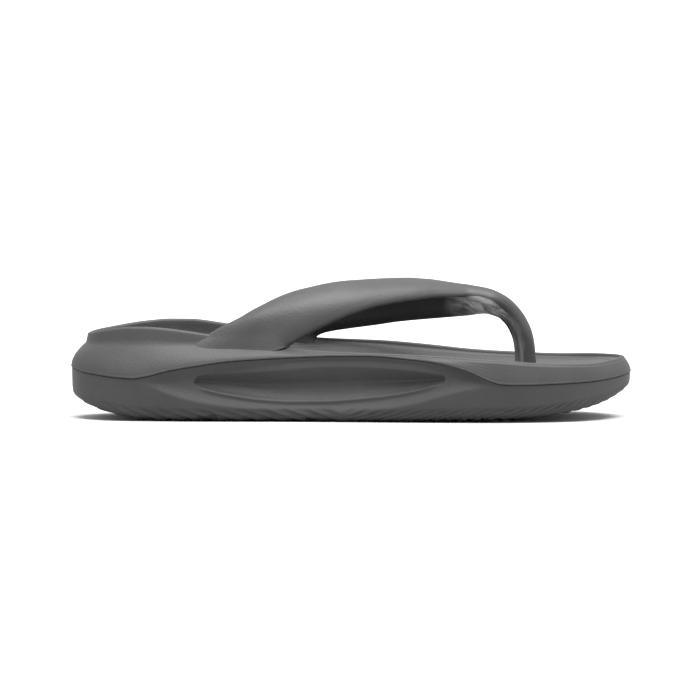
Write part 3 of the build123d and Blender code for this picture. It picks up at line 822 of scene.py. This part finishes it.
def polish_and_paint_highlight(material):
    """Make the strap's skin glossier and streaky where it faces down and back, near the toe post, and paint a
    pale, streaky highlight into its colour there that is paler higher up.
    """
    nodes, links = material.node_tree.nodes, material.node_tree.links
    shader = nodes["Principled BSDF"]
    place = nodes.new("ShaderNodeTexCoord")
    parts = nodes.new("ShaderNodeSeparateXYZ")
    links.new(place.outputs["Object"], parts.inputs["Vector"])
    ahead = nodes.new("ShaderNodeMapRange")
    ahead.inputs["From Min"].default_value = POLISH_AND_HIGHLIGHT_START
    ahead.inputs["From Max"].default_value = POLISH_AND_HIGHLIGHT_FULL
    links.new(parts.outputs["X"], ahead.inputs["Value"])
    surface = nodes.new("ShaderNodeNewGeometry")
    facing = nodes.new("ShaderNodeVectorMath")
    facing.operation = "DOT_PRODUCT"
    facing.inputs[1].default_value = (-0.84, -0.2, -0.5)
    links.new(surface.outputs["Normal"], facing.inputs[0])
    behind = nodes.new("ShaderNodeMapRange")
    behind.inputs["From Min"].default_value = 0.3
    behind.inputs["From Max"].default_value = 0.6
    links.new(facing.outputs["Value"], behind.inputs["Value"])
    stretch = nodes.new("ShaderNodeMapping")
    stretch.inputs["Scale"].default_value = (1, 4, 0.6)
    links.new(place.outputs["Object"], stretch.inputs["Vector"])
    streaks = nodes.new("ShaderNodeTexNoise")
    streaks.inputs["Scale"].default_value = 130
    streaks.inputs["Detail"].default_value = 4
    links.new(stretch.outputs["Vector"], streaks.inputs["Vector"])
    uneven = nodes.new("ShaderNodeMapRange")
    uneven.inputs["From Min"].default_value = 0.3
    uneven.inputs["From Max"].default_value = 0.6
    links.new(streaks.outputs["Fac"], uneven.inputs["Value"])
    within = nodes.new("ShaderNodeMath")
    within.operation = "MULTIPLY"
    links.new(ahead.outputs["Result"], within.inputs[0])
    links.new(behind.outputs["Result"], within.inputs[1])
    share = nodes.new("ShaderNodeMath")
    share.operation = "MULTIPLY"
    links.new(within.outputs["Value"], share.inputs[0])
    links.new(uneven.outputs["Result"], share.inputs[1])
    # Painted highlight: the base colour is mixed towards a pale grey in streaks on the down- and back-facing
    # skin near the toe post, paler higher up.
    painted_highlight_mix = nodes.new("ShaderNodeMixRGB")
    painted_highlight_level = nodes.new("ShaderNodeMapRange")
    painted_highlight_level.inputs["From Min"].default_value = PAINTED_HIGHLIGHT_START
    painted_highlight_level.inputs["From Max"].default_value = PAINTED_HIGHLIGHT_FULL
    painted_highlight_level.inputs["To Min"].default_value = 0.12
    painted_highlight_level.inputs["To Max"].default_value = 0.5
    links.new(parts.outputs["Z"], painted_highlight_level.inputs["Value"])
    links.new(painted_highlight_level.outputs["Result"], painted_highlight_mix.inputs["Color2"])
    tint = shader.inputs["Base Color"].links[0].from_socket
    links.new(share.outputs["Value"], painted_highlight_mix.inputs["Fac"])
    links.new(tint, painted_highlight_mix.inputs["Color1"])
    links.new(painted_highlight_mix.outputs["Color"], shader.inputs["Base Color"])
    polish = (("Roughness", STRAP_ROUGHNESS, 0.26), ("Specular IOR Level", FOAM_SPECULAR, 1.0))
    for socket, low, high in polish:
        blend = nodes.new("ShaderNodeMapRange")
        blend.inputs["To Min"].default_value = low
        blend.inputs["To Max"].default_value = high
        links.new(share.outputs["Value"], blend.inputs["Value"])
        links.new(blend.outputs["Result"], shader.inputs[socket])


upper_foam = foam("upper_foam", 0.030, 1000, 0.6)
lower_foam = foam("lower_foam", 0.029, 1100, 0.6)
strap_foam = foam("strap_foam", 0.030, 900, STRAP_ROUGHNESS)
tread_rubber = foam("tread_rubber", 0.009, 1400, 0.6)
polish_and_paint_highlight(strap_foam)


# ---- Pieces ----------------------------------------------------------------------------------------
footbed = make_footbed()
footbed.data.materials.append(upper_foam)
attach(footbed, "root")
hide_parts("footbed")

midsole = make_midsole()
midsole.data.materials.append(lower_foam)
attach(midsole, "root")
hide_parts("midsole")

strap = make_strap()
strap.data.materials.append(strap_foam)
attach(strap, "root")
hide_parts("strap")

sole_outline = Outline(900)
pads = (("heel_tread_pad", HEEL_PAD, HEEL_PAD_SPINE),
        ("forefoot_tread_pad", FOREFOOT_PAD, FOREFOOT_PAD_SPINE))
for node, points, spine in pads:
    pad = pad_piece(node + "_moulding", make_pad(points, spine, sole_outline))
    pad.data.materials.append(tread_rubber)
    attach(pad, "root")
    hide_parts(node)

# ---- Floor, light and camera -----------------------------------------------------------------------
ELEVATION = math.radians(3.4)
DISTANCE = 4.0
SENSOR = 36.0
SPAN = 0.3566  # what the view takes in from side to side, at the middle of the sole

floor_mesh = bpy.data.meshes.new("floor")
reach = 4.0
corners = [(-reach, -reach, 0), (reach, -reach, 0), (reach, reach, 0), (-reach, reach, 0)]
floor_mesh.from_pydata(corners, [], [(0, 1, 2, 3)])
floor = bpy.data.objects.new("floor", floor_mesh)
bpy.context.collection.objects.link(floor)
pale = bpy.data.materials.new("pale_floor")
pale.use_nodes = True
pale.node_tree.nodes["Principled BSDF"].inputs["Base Color"].default_value = (0.42, 0.42, 0.42, 1)
pale.node_tree.nodes["Principled BSDF"].inputs["Roughness"].default_value = 0.9
floor_mesh.materials.append(pale)

world = bpy.data.worlds.new("studio")
bpy.context.scene.world = world
world.use_nodes = True
world.node_tree.nodes["Background"].inputs["Color"].default_value = (1, 1, 1, 1)
world.node_tree.nodes["Background"].inputs["Strength"].default_value = 1.3

key_data = bpy.data.lights.new("overhead", "SUN")
key_data.energy = 9.6
key_data.angle = math.radians(50)
key = bpy.data.objects.new("overhead", key_data)
bpy.context.collection.objects.link(key)
key.rotation_euler = Vector((0.12, -0.24, 1)).to_track_quat("Z", "Y").to_euler()

bpy.context.scene.view_settings.view_transform = "Standard"

camera_data = bpy.data.cameras.new("camera")
camera_data.sensor_width = SENSOR
camera_data.lens = SENSOR * DISTANCE / SPAN
camera_data.clip_start = 0.05
camera = bpy.data.objects.new("camera", camera_data)
bpy.context.collection.objects.link(camera)
aim = Vector((-0.0006, 0, 0.0343))
camera.location = aim + DISTANCE * Vector((0, -math.cos(ELEVATION), math.sin(ELEVATION)))
camera.rotation_euler = (aim - camera.location).to_track_quat("-Z", "Y").to_euler()
bpy.context.scene.camera = camera
